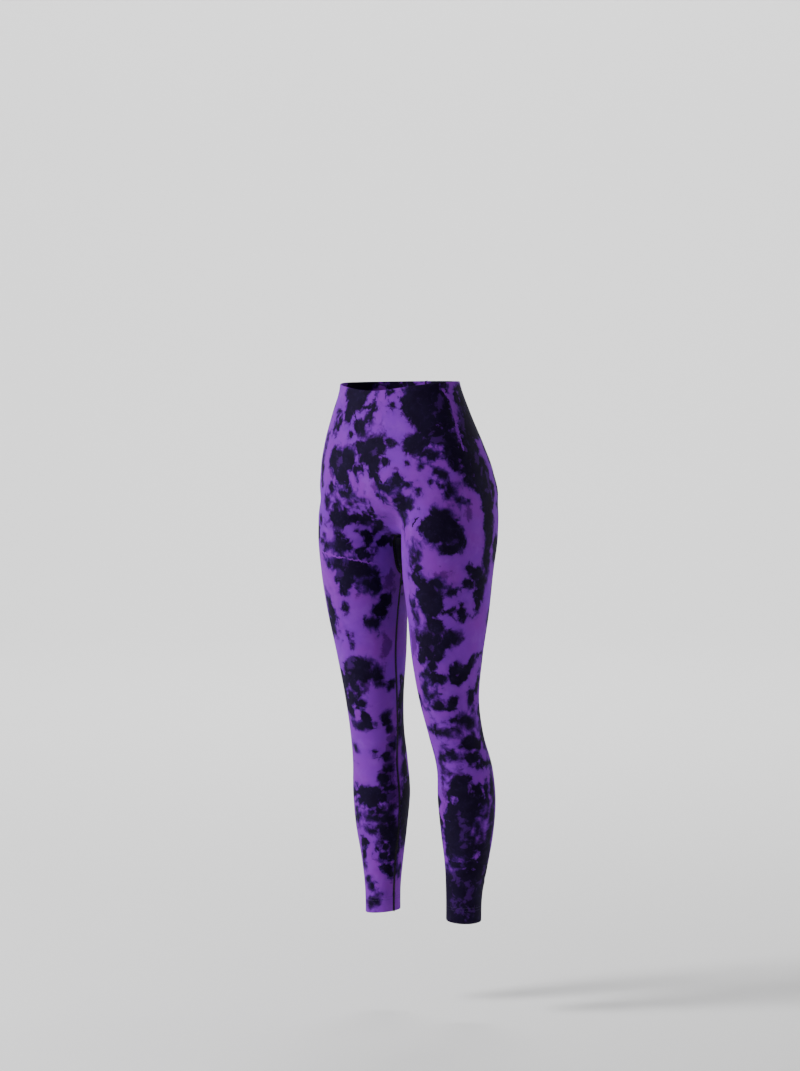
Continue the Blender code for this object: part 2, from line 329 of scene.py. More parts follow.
# %% [markdown]
# ## Marks are placed on the cloth one by one
#
# Creases and dye marks are both listed in short tables: how far down from the
# waist, how far round, how tall and wide, and how much they lean. A helper
# finds the point of the cloth that a row means, and then every point of the
# cloth can be told how far it is across and down from there.
#
# Round is counted in degrees. On the hips 0 is the centre front and 90 the
# wearer's left. On a leg 0 is the inside, 90 the front, 180 the outside.

# %% Where a mark lies
@functools.cache
def spot(part, down, around):
    """A point of the cloth, with its outward, rightward (seen from outside) and downward directions."""
    z = -down / 1000
    turn = math.radians(around)
    if part == "hips":
        start = np.array([0.0003, float(between(TRUNK, np.array(z))[3]), z])
        direction = np.array([math.sin(turn), -math.cos(turn), 0.0])
    else:
        side = 1 if part == "left" else -1
        ring = between(LEG, np.array(z))
        start = np.array([side * float(ring[0]), float(ring[1]), z])
        direction = np.array([-side * math.cos(turn), -math.sin(turn), 0.0])
    point = first_face(start, direction)
    out = outward(point)
    right = np.cross((0, 0, 1), out)
    right /= np.linalg.norm(right)
    return point, out, right, np.cross(right, out)


def measured_from(place, points, normals, lean=0.0):
    """Millimetres across and along a mark from its middle, and which points face the same way as it."""
    point, out, right, down = place
    away = (points - point) * 1000
    across, along = away @ right, away @ down
    turn = math.radians(lean)
    facing = (normals @ out > 0.15) & (np.abs(away @ out) < 60)
    return across * math.cos(turn) + along * math.sin(turn), along * math.cos(turn) - across * math.sin(turn), facing


# %% [markdown]
# ## Creases
#
# Stretch cloth lies smooth on the hips and thighs. It only folds a little at
# the groin, behind and above the knees, and at the ankles, where it is longer
# than it need be. Each crease is a soft ridge beside a soft trough.

# %% Crease table
CREASES = [
    # part, down, round, length, lean, width, depth (mm)
    ("right", 292, 72, 120, -76, 3.0, 1.6),
    ("right", 262, 60, 70, -62, 5.0, -0.8),
    ("left", 292, 80, 60, -60, 5.0, 0.9),
    ("left", 258, 62, 54, -50, 4.5, 0.8),
    ("hips", 216, 22, 46, -52, 5.0, 0.7),
    ("hips", 214, -20, 50, 55, 5.0, 0.8),
    ("left", 846, 112, 64, 91, 2.6, 1.9),
    ("left", 872, 82, 34, 62, 3.4, 0.9),
    ("left", 626, 92, 56, 80, 4.0, 0.7),
    ("left", 668, 104, 44, 100, 4.0, 0.6),
    ("right", 636, 74, 50, 98, 4.0, 0.7),
    ("right", 886, 66, 40, 86, 3.0, 0.9),
    ("right", 640, 262, 60, 92, 4.5, 1.5),
    ("right", 618, 280, 48, 78, 4.0, 1.2),
    ("left", 632, 268, 62, 88, 4.5, 1.5),
    ("left", 656, 250, 44, 104, 4.0, 1.2),
    ("left", 306, 262, 90, 82, 6.0, 1.1),
    ("right", 300, 258, 84, 97, 6.0, 1.0),
    ("left", 884, 240, 46, 96, 3.2, 1.2),
    ("right", 868, 228, 52, 84, 3.4, 1.3),
]


def creased(points, normals):
    """How far creases push each point in, in metres."""
    push = np.zeros(points.shape[:-1])
    for part, down, around, length, lean, width, depth in CREASES:
        across, along, facing = measured_from(spot(part, down, around), points, normals, lean)
        bow = across + 0.0016 * along ** 2 * np.sign(width)
        window = soften(1.35 * (1 - np.abs(along) / (length / 2))) * facing
        trough = np.exp(-(bow / width) ** 2) - 0.45 * np.exp(-((bow - 2.1 * width) / (1.4 * width)) ** 2)
        push += depth / 1000 * window * trough
    return push


print(len(CREASES), "creases")


# %% [markdown]
# ## Seams
#
# The pieces are sewn with a flat seam: the two edges meet in a shallow groove
# under a band of dark thread. The seams run round the gusset, down each
# inseam and up the centre back.

# %% Seam lines
def joined(*lines):
    return np.concatenate(lines)


inseam = (LEFT[CORNER_ROW:, 0] + LEFT[CORNER_ROW:, -1]) / 2
gusset_half = joined(LEFT[TIP_ROW:CORNER_ROW + 1, 0], LEFT[TIP_ROW:CORNER_ROW, -1][::-1])
gusset_half[[0, -1], 0] = 0.0
gusset_ring = joined(gusset_half, (gusset_half * (-1, 1, 1))[::-1][1:-1])
centre_back = LEFT[:TIP_ROW + 1, -1] * (0, 1, 1)
SEAMS = {
    "gusset": gusset_ring,
    "left_inseam": inseam,
    "right_inseam": inseam * (-1, 1, 1),
    "centre_back": centre_back,
}


def closely(line, step=0.0012):
    """The same line with its points a step apart."""
    lengths = np.concatenate([[0], np.cumsum(np.linalg.norm(np.diff(line, axis=0), axis=1))])
    marks = np.linspace(0, lengths[-1], int(lengths[-1] / step) + 1)
    return np.stack([np.interp(marks, lengths, line[:, k]) for k in range(3)], axis=-1)


seam_points = np.concatenate([closely(line) for line in SEAMS.values()])
seam_tree = KDTree(len(seam_points))
for number, point in enumerate(seam_points):
    seam_tree.insert(Vector(point), number)
seam_tree.balance()


def from_seam(points):
    """Distance of each point from the nearest seam."""
    flat = points.reshape(-1, 3)
    return np.array([seam_tree.find(p)[2] for p in flat]).reshape(points.shape[:-1])


def seam_groove(points):
    away = from_seam(points) * 1000
    return (0.9 * np.exp(-(away / 2.0) ** 2) - 0.35 * np.exp(-((away - 5.0) / 1.8) ** 2)) / 1000


print({name: round(float(np.linalg.norm(np.diff(line, axis=0), axis=1).sum()), 3) for name, line in SEAMS.items()})


# %% [markdown]
# ## The dye
#
# The cloth was crumpled, tied and dipped, so the dark dye took in blotches
# with ragged edges, and left paler veins where a fold kept it out. Each
# blotch is one row of a table. All of them together give every point of the
# cloth one number: how many millimetres it lies inside the nearest blotch's
# edge. The material later frays that edge and turns the number into colour.

# %% Dye on the hips
HIP_DYE = [
    # down, round, tall, wide, lean (mm and degrees)
    (18, 60, 100, 82, 0), (58, 64, 84, 66, 0), (96, 48, 36, 56, 0), (78, 65, 46, 44, 0),
    (20, 98, 50, 44, 0), (56, 100, 70, 66, 0), (106, 80, 84, 74, -20), (150, 88, 64, 66, 20),
    (188, 95, 60, 40, 0), (236, 93, 100, 30, 6), (92, 118, 130, 62, 0), (160, 116, 60, 44, 12),
    (120, 56, 15, 24, 0), (130, 38, 6, 6, 0), (131, 48, 9, 6, 0), (180, 44, 7, 7, 0), (193, 68, 8, 7, 0),
    (149, 60, 12, 17, 35), (146, 57, 8, 20, 50), (175, 65, 20, 22, -30), (168, 58, 8, 22, 30), (184, 62, 14, 12, 0),
    (16, -25, 36, 46, 0), (40, -31, 44, 18, 6), (6, -9, 12, 12, 0), (33, -14, 7, 36, -4),
    (46, 1, 36, 5, 10), (54, -5, 26, 5, 20), (70, -14, 20, 32, 35), (84, -25, 5, 6, 0),
    (40, -49, 12, 14, 0), (62, -44, 22, 6, 20), (70, -50, 20, 5, 10), (6, 23, 11, 10, 0),
    (108, 0, 44, 34, 12), (128, 5, 38, 18, -6), (97, 12, 26, 22, 0), (92, 22, 12, 26, 20), (102, -10, 24, 18, 0),
    (128, 18, 11, 15, 0), (152, 6, 26, 6, -28), (146, 2, 16, 8, -20), (151, -15, 14, 4, 0), (142, -10, 8, 10, 0),
    (128, -39, 44, 40, 0), (128, -26, 44, 38, 0), (152, -32, 40, 32, 0), (178, -43, 20, 20, -20),
    (174, -25, 26, 12, -32), (184, -32, 18, 6, 0), (118, -19, 18, 10, 0),
    (160, 28, 24, 26, -20), (178, 17, 14, 22, 10), (170, 22, 12, 20, 20), (166, 36, 5, 12, 0),
    (196, 14, 12, 10, 0), (189, 9, 6, 8, 20), (199, -9, 4, 9, 10), (194, -17, 8, 5, 0),
    (204, 31, 36, 19, 0), (226, 31, 26, 8, 0), (203, 37, 14, 9, 20), (196, 26, 8, 10, 0),
    (206, -47, 20, 8, 0), (150, -58, 40, 8, 0), (214, -40, 24, 8, 10),
]
HIP_BACK_DYE = [
    (40, 150, 60, 70, 20), (70, 168, 44, 40, -30), (24, 200, 36, 60, 0), (96, 196, 56, 44, 25), (128, 212, 30, 50, -15),
    (150, 150, 62, 54, 10), (176, 172, 30, 30, 40), (190, 138, 46, 30, 0), (60, 238, 66, 50, -20), (110, 250, 34, 62, 10),
    (168, 232, 50, 66, 15), (206, 206, 30, 44, -10), (214, 164, 26, 30, 20), (30, 268, 44, 30, 0), (150, 272, 46, 26, 12),
    (200, 262, 60, 34, -8), (90, 286, 30, 20, 0), (12, 168, 14, 16, 0), (136, 182, 12, 14, 0), (220, 240, 18, 22, 30),
]
HIP_THIN = [
    (18, -22, 26, 30, 0), (64, -20, 14, 26, 20), (112, 44, 12, 20, 0), (172, 8, 20, 24, -20), (188, 22, 16, 20, 0), (150, -44, 24, 20, 0),
    (140, 30, 16, 16, 0), (204, -30, 14, 26, 0), (60, 46, 16, 10, 0), (216, 76, 26, 12, 0), (90, 180, 40, 40, 0), (180, 200, 30, 40, 20),
]
HIP_GLOW = [
    (28, 70, 40, 14, 10), (88, 62, 20, 24, 0), (120, 90, 40, 12, -20), (60, 88, 30, 16, 20), (132, -34, 16, 14, 0), (110, 4, 18, 10, 0),
    (168, 96, 26, 14, 10), (50, 156, 26, 20, 0), (150, 150, 30, 16, 20),
]
HIP_RESIST = [
    # paler veins and islands left inside the dark
    (76, 79, 108, 7, 3), (9, 79, 44, 6, -40), (10, 94, 38, 5, 6), (34, 88, 6, 22, 0), (104, 57, 12, 24, 0),
    (112, 82, 60, 5, -8), (196, 99, 40, 5, -24), (60, 128, 60, 6, 18), (150, 160, 30, 5, 40), (70, 72, 4, 26, 20),
    (40, 205, 34, 5, 30), (168, 240, 5, 44, 10),
]

# %% Dye on the legs
LEFT_DYE = [
    (243, 116, 58, 66, 0), (270, 123, 34, 50, 10), (214, 110, 14, 20, 0), (222, 122, 20, 26, 20), (256, 136, 40, 18, -10),
    (288, 84, 24, 7, 25), (292, 92, 20, 6, 10), (300, 84, 26, 9, -20), (312, 90, 16, 12, 0), (322, 84, 18, 7, 20),
    (336, 88, 38, 12, -28), (352, 95, 40, 16, 0), (370, 103, 58, 44, 0), (342, 112, 22, 24, -20), (400, 103, 24, 12, 0), (366, 88, 22, 10, 0),
    (359, 130, 12, 24, -28), (348, 124, 6, 14, 0), (388, 132, 8, 22, -30), (391, 143, 10, 24, 20), (398, 145, 16, 16, 0),
    (352, 176, 54, 26, 10), (326, 168, 22, 30, -20), (318, 156, 12, 18, 30), (345, 152, 12, 18, 0), (376, 172, 30, 12, 0), (300, 186, 44, 22, 0),
    (452, 102, 60, 48, 0), (424, 108, 34, 26, 0), (436, 131, 26, 32, -10), (448, 120, 24, 30, 0), (470, 84, 26, 20, 0), (490, 101, 20, 16, 0),
    (436, 84, 12, 5, 0), (408, 80, 26, 6, 10), (380, 76, 18, 5, 0),
    (511, 108, 18, 34, 8), (506, 90, 10, 16, -30), (530, 82, 20, 10, 10), (503, 141, 34, 30, 0), (498, 165, 12, 8, 20),
    (559, 106, 22, 20, 20), (546, 92, 6, 18, -40), (553, 132, 16, 12, 20), (566, 128, 6, 10, 0), (550, 172, 28, 14, 0), (572, 176, 14, 8, 0),
    (585, 128, 6, 18, -20), (594, 150, 18, 26, 20), (590, 142, 6, 22, 10), (612, 98, 16, 36, 0), (604, 84, 14, 6, 0),
    (614, 206, 52, 20, 0), (524, 192, 32, 10, 0), (586, 198, 30, 10, 0),
    (638, 132, 8, 12, 30), (654, 108, 10, 18, -20), (657, 146, 16, 28, 0), (650, 160, 8, 10, 0), (670, 184, 11, 44, 0), (664, 172, 12, 14, 0),
    (656, 84, 20, 5, 30), (676, 78, 8, 6, 0), (684, 88, 5, 12, 10), (698, 78, 8, 7, 0), (704, 86, 6, 10, 0),
    (707, 114, 36, 40, 0), (724, 98, 30, 20, 0), (750, 128, 76, 44, 0), (760, 98, 46, 32, 0), (800, 112, 84, 68, 0), (790, 140, 60, 28, 0),
    (711, 144, 15, 18, 0), (723, 172, 36, 10, 0), (712, 198, 60, 16, 0), (745, 155, 24, 11, 0), (762, 165, 10, 12, 0),
    (796, 186, 46, 18, 12), (756, 196, 60, 14, 0), (818, 164, 20, 12, 30), (834, 184, 60, 26, 0), (772, 74, 22, 8, 0), (812, 74, 60, 9, 0),
    (836, 124, 22, 50, 0), (853, 96, 12, 50, 4), (851, 150, 16, 50, -4), (842, 176, 40, 30, 0),
]
LEFT_ANKLE_DYE = [
    (916, 60, 110, 60, 0), (916, 110, 116, 70, 0), (912, 165, 124, 70, 0), (908, 225, 120, 70, 0), (916, 290, 100, 60, 0), (918, 350, 90, 50, 0),
]
LEFT_THIN = [
    # weak dye, which only deepens the violet
    (728, 78, 60, 12, 0), (690, 102, 10, 30, 10), (648, 176, 60, 12, 0), (440, 64, 60, 16, 0), (322, 118, 20, 30, 0),
]
LEFT_GLOW = [
    (905, 140, 34, 14, 30), (925, 105, 22, 16, 0), (868, 84, 20, 14, -30), (886, 172, 30, 10, 20), (940, 150, 16, 20, 0),
    (884, 126, 10, 24, 10), (936, 240, 30, 16, 0), (890, 290, 36, 14, 20), (806, 120, 40, 8, 10), (768, 118, 16, 14, 0), (440, 104, 24, 10, 20),
]
LEFT_BACK_DYE = [
    (286, 214, 44, 26, 0), (312, 250, 60, 50, 15), (352, 232, 28, 40, -20), (396, 262, 56, 36, 0), (404, 214, 26, 22, 30),
    (440, 240, 22, 46, 8), (468, 282, 44, 24, 0), (486, 222, 34, 30, -12), (530, 252, 40, 44, 10), (566, 230, 18, 26, 0),
    (572, 292, 40, 22, 0), (610, 262, 26, 50, -10), (652, 238, 44, 32, 0), (664, 292, 30, 26, 20), (704, 262, 60, 44, 0),
    (742, 236, 52, 30, 10), (756, 300, 60, 26, 0), (806, 262, 60, 50, -8), (826, 322, 40, 20, 0), (344, 330, 60, 18, 0),
    (420, 330, 34, 20, 20), (520, 340, 50, 16, 0), (610, 330, 30, 18, -20), (700, 346, 60, 16, 0), (300, 296, 30, 34, 0),
    (380, 20, 40, 14, 0), (470, 40, 26, 14, 0), (560, 30, 34, 16, 10), (640, 40, 28, 12, 0), (730, 30, 60, 18, 0), (800, 30, 50, 20, 0),
]
LEFT_RESIST = [
    (731, 97, 11, 12, 0), (771, 88, 5, 13, 0), (840, 99, 8, 20, 0), (838, 154, 15, 14, 0), (858, 75, 22, 9, -30),
    (800, 154, 30, 4, 20), (776, 146, 26, 6, 10), (270, 112, 3, 26, -8), (452, 112, 40, 3, 20), (724, 262, 5, 30, 20),
    (503, 143, 5, 8, 20), (880, 240, 24, 6, 30),
]
RIGHT_DYE_AND_SHADE = [
    (228, 86, 34, 22, 10), (235, 70, 11, 54, -8), (238, 82, 16, 14, 0), (226, 78, 16, 6, 20), (246, 80, 18, 10, 0), (240, 56, 6, 14, 10),
    (262, 82, 34, 8, 0), (283, 80, 22, 34, 0), (276, 78, 18, 20, 0), (284, 98, 12, 12, 0), (271, 50, 24, 15, 10), (262, 54, 10, 10, 30),
    (240, 110, 14, 8, 0), (256, 118, 22, 7, 0),
    (322, 72, 34, 66, 6), (312, 84, 22, 30, 0), (326, 55, 18, 44, 14), (340, 80, 40, 34, 0), (360, 82, 22, 18, 0), (348, 54, 14, 13, 20), (357, 62, 8, 8, 0),
    (352, 44, 30, 26, 0), (316, 100, 14, 8, -30),
    (384, 28, 30, 22, 20), (400, 34, 26, 26, -10), (423, 49, 17, 24, 12), (404, 108, 52, 18, -16), (428, 116, 30, 10, -20), (392, 84, 16, 10, 0),
    (446, 85, 14, 7, -20), (458, 82, 16, 6, 10), (446, 80, 9, 6, 30), (430, 124, 20, 8, 0),
    (508, 80, 46, 50, 0), (498, 70, 26, 40, 20), (514, 48, 34, 18, -24), (532, 40, 10, 14, 20), (520, 100, 34, 22, 0), (534, 74, 20, 10, 0),
    (548, 124, 60, 20, 0), (580, 112, 32, 14, -14), (596, 76, 20, 12, 0), (610, 80, 14, 28, 0), (594, 34, 18, 14, 20), (536, 20, 10, 12, 0),
    # the marks at round -18 to -24 lie behind the inseam, in the shaded gap between the legs: dark dye, partly painted
    # shade
    (560, -18, 60, 26, 0), (604, -20, 70, 32, 0), (640, -24, 50, 24, 0), (606, 30, 9, 12, 0), (616, 26, 10, 10, 20),
    (656, 110, 12, 8, -20), (668, 38, 12, 14, 0), (692, 30, 10, 12, 0), (648, 22, 10, 8, 0),
    (706, 40, 12, 12, 0), (726, 34, 14, 18, 10), (742, 38, 12, 26, 0), (760, 30, 14, 16, 0),
    # these four marks behind the inseam, in the shaded gap between the legs, are dark dye, partly painted shade
    (700, -12, 40, 18, 0), (740, -18, 60, 34, 0), (776, -14, 70, 36, 0), (812, -20, 46, 26, 0),
    (734, 88, 16, 34, -8), (754, 95, 20, 24, 0), (744, 72, 10, 14, 0), (770, 76, 8, 14, 0), (764, 56, 16, 20, 0), (772, 50, 10, 22, 10),
    (785, 56, 12, 44, 8), (786, 36, 14, 22, 0), (803, 53, 11, 44, 0), (812, 34, 16, 26, 0), (832, 22, 70, 22, 0), (806, 24, 40, 20, 0),
    (828, 56, 24, 8, 30), (836, 46, 12, 10, 0), (830, 100, 14, 15, 0), (852, 50, 12, 10, 0), (776, 104, 6, 6, 0),
    (878, 44, 14, 20, 24), (884, 34, 8, 12, 0), (896, 100, 7, 9, 0), (911, 84, 16, 7, -28), (936, 78, 14, 14, 0), (922, 66, 5, 8, 0),
    (846, 108, 30, 6, 0), (660, 60, 6, 6, 0), (944, 96, 8, 10, 0),
]
# weak dye that deepens the violet; the strip at round 20 to 30 down the far leg's inner side, which faces the near leg,
# is painted shade
RIGHT_THIN_AND_SHADE = [
    (640, 24, 60, 18, 10), (672, 30, 40, 24, 0), (704, 26, 40, 22, 0), (740, 26, 80, 34, 0), (700, 46, 14, 20, 0), (812, 24, 60, 22, 0),
    (870, 26, 40, 12, 0), (350, 20, 40, 30, 0), (470, 30, 60, 16, 0), (536, 66, 16, 20, 0), (860, 70, 12, 14, 0), (372, 66, 18, 12, 20),
]
RIGHT_GLOW = [
    (330, 84, 20, 10, 20), (500, 92, 22, 12, 0), (744, 30, 14, 10, 0), (782, 60, 6, 18, 8), (600, -12, 40, 8, 0),
]
RIGHT_BACK_DYE = [
    (290, 200, 60, 46, -10), (300, 262, 50, 60, 12), (344, 236, 30, 26, 30), (372, 176, 36, 30, 0), (396, 276, 40, 44, -14),
    (426, 222, 50, 34, 0), (462, 176, 30, 24, 20), (480, 262, 30, 42, 0), (520, 214, 44, 30, 14), (548, 280, 34, 26, 0),
    (566, 172, 24, 20, 0), (598, 236, 40, 44, -6), (640, 206, 30, 24, 20), (656, 270, 40, 34, 0), (700, 230, 60, 40, 8),
    (722, 160, 30, 18, 0), (736, 292, 50, 26, 0), (772, 212, 34, 30, -20), (812, 262, 60, 34, 0), (850, 196, 30, 22, 12),
    (884, 252, 34, 26, 0), (916, 300, 26, 20, 0), (930, 210, 30, 24, 0), (880, 156, 20, 14, 0), (340, 320, 50, 20, 0), (450, 322, 40, 20, 0),
]
RIGHT_RESIST = [
    (304, 84, 4, 50, 14), (330, 92, 10, 8, 0), (596, 96, 30, 8, 0), (610, 232, 4, 36, 14), (300, 240, 44, 5, 20), (760, 86, 5, 30, 0),
]
DYES_AND_SHADE = {
    "hips": HIP_DYE + HIP_BACK_DYE,
    "left": LEFT_DYE + LEFT_ANKLE_DYE + LEFT_BACK_DYE,
    "right": RIGHT_DYE_AND_SHADE + RIGHT_BACK_DYE,
}
RESISTS = {"hips": HIP_RESIST, "left": LEFT_RESIST, "right": RIGHT_RESIST}
VEILS_AND_SHADE = {"hips": HIP_THIN, "left": LEFT_THIN, "right": RIGHT_THIN_AND_SHADE}
GLOWS = {"hips": HIP_GLOW, "left": LEFT_GLOW, "right": RIGHT_GLOW}
VEINS_AND_CREASE_SHADING = [
    # hairlines where the cloth was creased in the dye, and three along worn creases that are partly painted highlight
    # and painted shade: part, down and round of each end, width (mm), dark or pale
    ("hips", 2, 76, 30, 84, 4.0, "pale"), ("hips", 22, 82, 70, 80, 4.5, "pale"), ("hips", 66, 80, 112, 79, 2.6, "pale"),
    # these two pale lines run along the ridge of the right thigh's crease: a paler dye line, partly painted highlight
    # on the ridge
    ("right", 292, 116, 304, 74, 2.2, "pale"), ("right", 304, 76, 315, 34, 2.0, "pale"),
    ("hips", 34, -27, 35, 4, 2.6, "dark"), ("hips", 35, 3, 60, -2, 2.4, "dark"), ("hips", 60, -24, 60, -2, 1.6, "dark"),
    ("hips", 36, -26, 64, -18, 3.0, "dark"), ("left", 221, 94, 243, 84, 2.4, "dark"), ("left", 230, 104, 250, 92, 1.8, "dark"),
    # the last line lies in the trough of the crease at the left ankle: a dark dye line, partly painted shade in the
    # crease
    ("right", 228, 96, 236, 52, 3.0, "dark"), ("hips", 140, 2, 166, 14, 2.2, "dark"), ("left", 846, 70, 848, 168, 2.2, "dark"),
]
print("dye marks:", sum(len(marks) for tables in (DYES_AND_SHADE, RESISTS, VEILS_AND_SHADE, GLOWS) for marks in tables.values()), "and", len(VEINS_AND_CREASE_SHADING), "hairlines")


# %% How far inside the dye
def inside_mark(part, mark, points, normals):
    down, around, tall, wide, lean = mark
    across, along, facing = measured_from(spot(part, down, around), points, normals, lean)
    ring = np.sqrt((2 * across / wide) ** 2 + (2 * along / tall) ** 2)
    return np.where(facing, (1 - ring) * min(tall, wide) / 2, -40.0)


def wandered(points):
    """Points moved a little along the cloth, so that no mark has a plain oval outline."""
    flat = points.reshape(-1, 3)
    drift = [noise.noise_vector(Vector(p) * 34) * 0.0042 + noise.noise_vector(Vector(p) * 95) * 0.0016 for p in flat]
    return points + np.array(drift).reshape(points.shape)


def depth_in(tables, points, normals):
    """Millimetres inside the nearest mark's edge, less than zero outside every mark."""
    depth = np.full(points.shape[:-1], -20.0)
    for part, marks in tables.items():
        for mark in marks:
            depth = np.maximum(depth, inside_mark(part, mark, points, normals))
    return np.minimum(depth, 20.0)


def crumpled(points, normals):
    """A rough field of dye for the sides turned away from the camera, and how far each point is turned away."""
    hidden = soften((0.12 - normals @ np.array(back_to_camera)) / 0.30)
    flat = points.reshape(-1, 3) * 13.0
    rough = np.array([noise.fractal(Vector(p), 0.8, 2.1, 4) for p in flat]).reshape(points.shape[:-1])
    return (rough - 0.15) * 34.0 - 14.0 * (1 - hidden), hidden


def dyed(points, normals):
    """Dye, veil and glow of each point. Some dye marks and the veil down the far leg's inner side are painted shade."""
    rough, hidden = crumpled(points, normals)
    points = wandered(points)
    dye_and_shade = np.minimum(depth_in(DYES_AND_SHADE, points, normals), -depth_in(RESISTS, points, normals))
    dye_and_shade = np.clip(np.maximum(dye_and_shade - 7.0 * hidden, rough), -20, 20)
    return np.stack([dye_and_shade, depth_in(VEILS_AND_SHADE, points, normals), depth_in(GLOWS, points, normals)], axis=-1)


# %% [markdown]
# ## From grids to closed shells
#
# Each piece of cloth is a thin closed shell: an outer face, an inner face one
# wall further in, and strips along the edges that join the two. The inner
# face of a large piece uses every second row and column. Points of the two
# halves that meet at the centre front become one.

# %% Shell maker
def grid_faces(ids):
    return np.stack([ids[:-1, :-1], ids[:-1, 1:], ids[1:, 1:], ids[1:, :-1]], axis=-1).reshape(-1, 4).tolist()


def strip_faces(outer, inner):
    """Faces between an outer edge line and an inner one with as many points, or half as many."""
    step = (len(outer) - 1) // (len(inner) - 1)
    return [
        [*outer[step * k:step * k + step + 1], inner[k + 1], inner[k]]
        for k in range(len(inner) - 1)
    ]


def make_shell(name, halves):
    """halves: for each, its outer and inner grids, the first row whose front edge is free if any, and the outer grid's values."""
    points, faces, values, total = [], [], [], 0
    for outer, inner, free_from, carried in halves:
        rows, columns = outer.shape[:2]
        step = (rows - 1) // (inner.shape[0] - 1)
        outer_ids = total + np.arange(rows * columns).reshape(rows, columns)
        inner_ids = total + rows * columns + np.arange(inner.shape[0] * inner.shape[1]).reshape(inner.shape[:2])
        total += outer_ids.size + inner_ids.size
        points += [outer.reshape(-1, 3), inner.reshape(-1, 3)]
        values += [carried.reshape(outer_ids.size, -1), carried[::step, ::step].reshape(inner_ids.size, -1)]
        faces += grid_faces(outer_ids) + grid_faces(inner_ids)
        for side in ((slice(0, 1), slice(None)), (slice(-1, None), slice(None)), (slice(None), slice(-1, None))):
            faces += strip_faces(outer_ids[side].ravel(), inner_ids[side].ravel())
        if free_from is not None:
            faces += strip_faces(outer_ids[free_from:, 0], inner_ids[free_from // step:, 0])
    points, values = np.concatenate(points), np.concatenate(values)
    _, first, merged = np.unique((points * 2e6).round().astype(np.int64), axis=0, return_index=True, return_inverse=True)
    merged = merged.ravel()
    mesh = bpy.data.meshes.new(name)
    sheet = bmesh.new()
    corners = [sheet.verts.new(point) for point in points[first]]
    for face in faces:
        loop = list(dict.fromkeys(merged[face].tolist()))
        if len(loop) > 2:
            sheet.faces.new([corners[k] for k in loop])
    bmesh.ops.recalc_face_normals(sheet, faces=sheet.faces)
    open_edges = sum(not edge.is_manifold for edge in sheet.edges)
    sheet.to_mesh(mesh)
    sheet.free()
    values = values[first]
    for column, label in enumerate(("dye_and_shade", "veil_and_shade", "glow", "seam")):
        mesh.attributes.new(label, "FLOAT", "POINT").data.foreach_set("value", values[:, column].astype(np.float32))
    uv = mesh.uv_layers.new(name="flat")
    loops = np.zeros(len(mesh.loops), np.int32)
    mesh.loops.foreach_get("vertex_index", loops)
    uv.data.foreach_set("uv", values[loops, 4:6].astype(np.float32).ravel())
    mesh.shade_smooth()
    mesh.set_sharp_from_angle(angle=math.radians(55))
    piece = bpy.data.objects.new(name, mesh)
    bpy.context.scene.collection.objects.link(piece)
    triangles = sum(len(face.vertices) - 2 for face in mesh.polygons)
    print(f"{name}: {triangles} triangles, {open_edges} open edges")
    return piece


def lean(points):
    """Lifts the wearer's left side of the waist."""
    points = points.copy()
    points[..., 2] += WAIST_LEAN * points[..., 0] * soften(1 + points[..., 2] / WAIST_FADE)
    return points


def rounded(depth):
    """How far in an edge's face lies, that many metres below the edge."""
    rise = np.clip((WALL - depth) / WALL, 0, 1)
    return np.minimum(WALL * (1 - np.sqrt(1 - rise ** 2)), 0.85 * WALL)


def flat_place(grid, levels, side):
    """Metres round from the front edge, and metres down from the waist."""
    steps = np.linalg.norm(np.diff(grid, axis=1), axis=-1)
    around = np.concatenate([np.zeros((len(grid), 1)), np.cumsum(steps, axis=1)], axis=1)
    return np.stack([side * around, np.repeat(-np.asarray(levels)[:, None], grid.shape[1], axis=1)], axis=-1)


def look_of(grid, normals, levels, side):
    """What the material reads at each point: dye, veil, glow, distance from a seam and flat place; dye and veil carry
    some painted shade.
    """
    away = np.minimum(from_seam(grid) * 1000, 30)[..., None]
    return np.concatenate([dyed(grid, normals), away, flat_place(grid, levels, side)], axis=-1)


# %% The body panel
def panel_half(side):
    grid = LEFT * (side, 1, 1)
    normals = outward(grid)
    creases = creased(grid, normals)
    edges = rounded(np.minimum(-LEVELS, LEVELS - HEM_Z))[:, None]
    outer = grid - normals * (creases + np.maximum(edges, seam_groove(grid)))[..., None]
    inner = (grid - normals * (WALL + creases)[..., None])[::2, ::2]
    outer[:TIP_ROW + 1, 0, 0] = inner[:TIP_ROW // 2 + 1, 0, 0] = 0.0
    return lean(outer), lean(inner), TIP_ROW, look_of(grid, normals, LEVELS, side)


left_half, right_half = panel_half(1), panel_half(-1)
right_half[0][:TIP_ROW + 1, 0] = left_half[0][:TIP_ROW + 1, 0]
right_half[1][:TIP_ROW // 2 + 1, 0] = left_half[1][:TIP_ROW // 2 + 1, 0]
panel = make_shell("leggings_panel", [left_half, right_half])


# %% [markdown]
# ## The gusset
#
# The gusset is a leaf of cloth seen out from a point inside the fork. Its edge
# follows the panel's, a hair's breadth inside it.

# %% Gusset
GUSSET_GAP, GUSSET_COLUMNS = 0.0007, 32


def seen_from_fork(tilt, spread):
    direction = [np.sin(spread), np.cos(spread) * np.sin(tilt), np.cos(spread) * np.cos(tilt)]
    return first_face(FAN_CENTRE, np.stack(direction, axis=-1), reach=0.14)


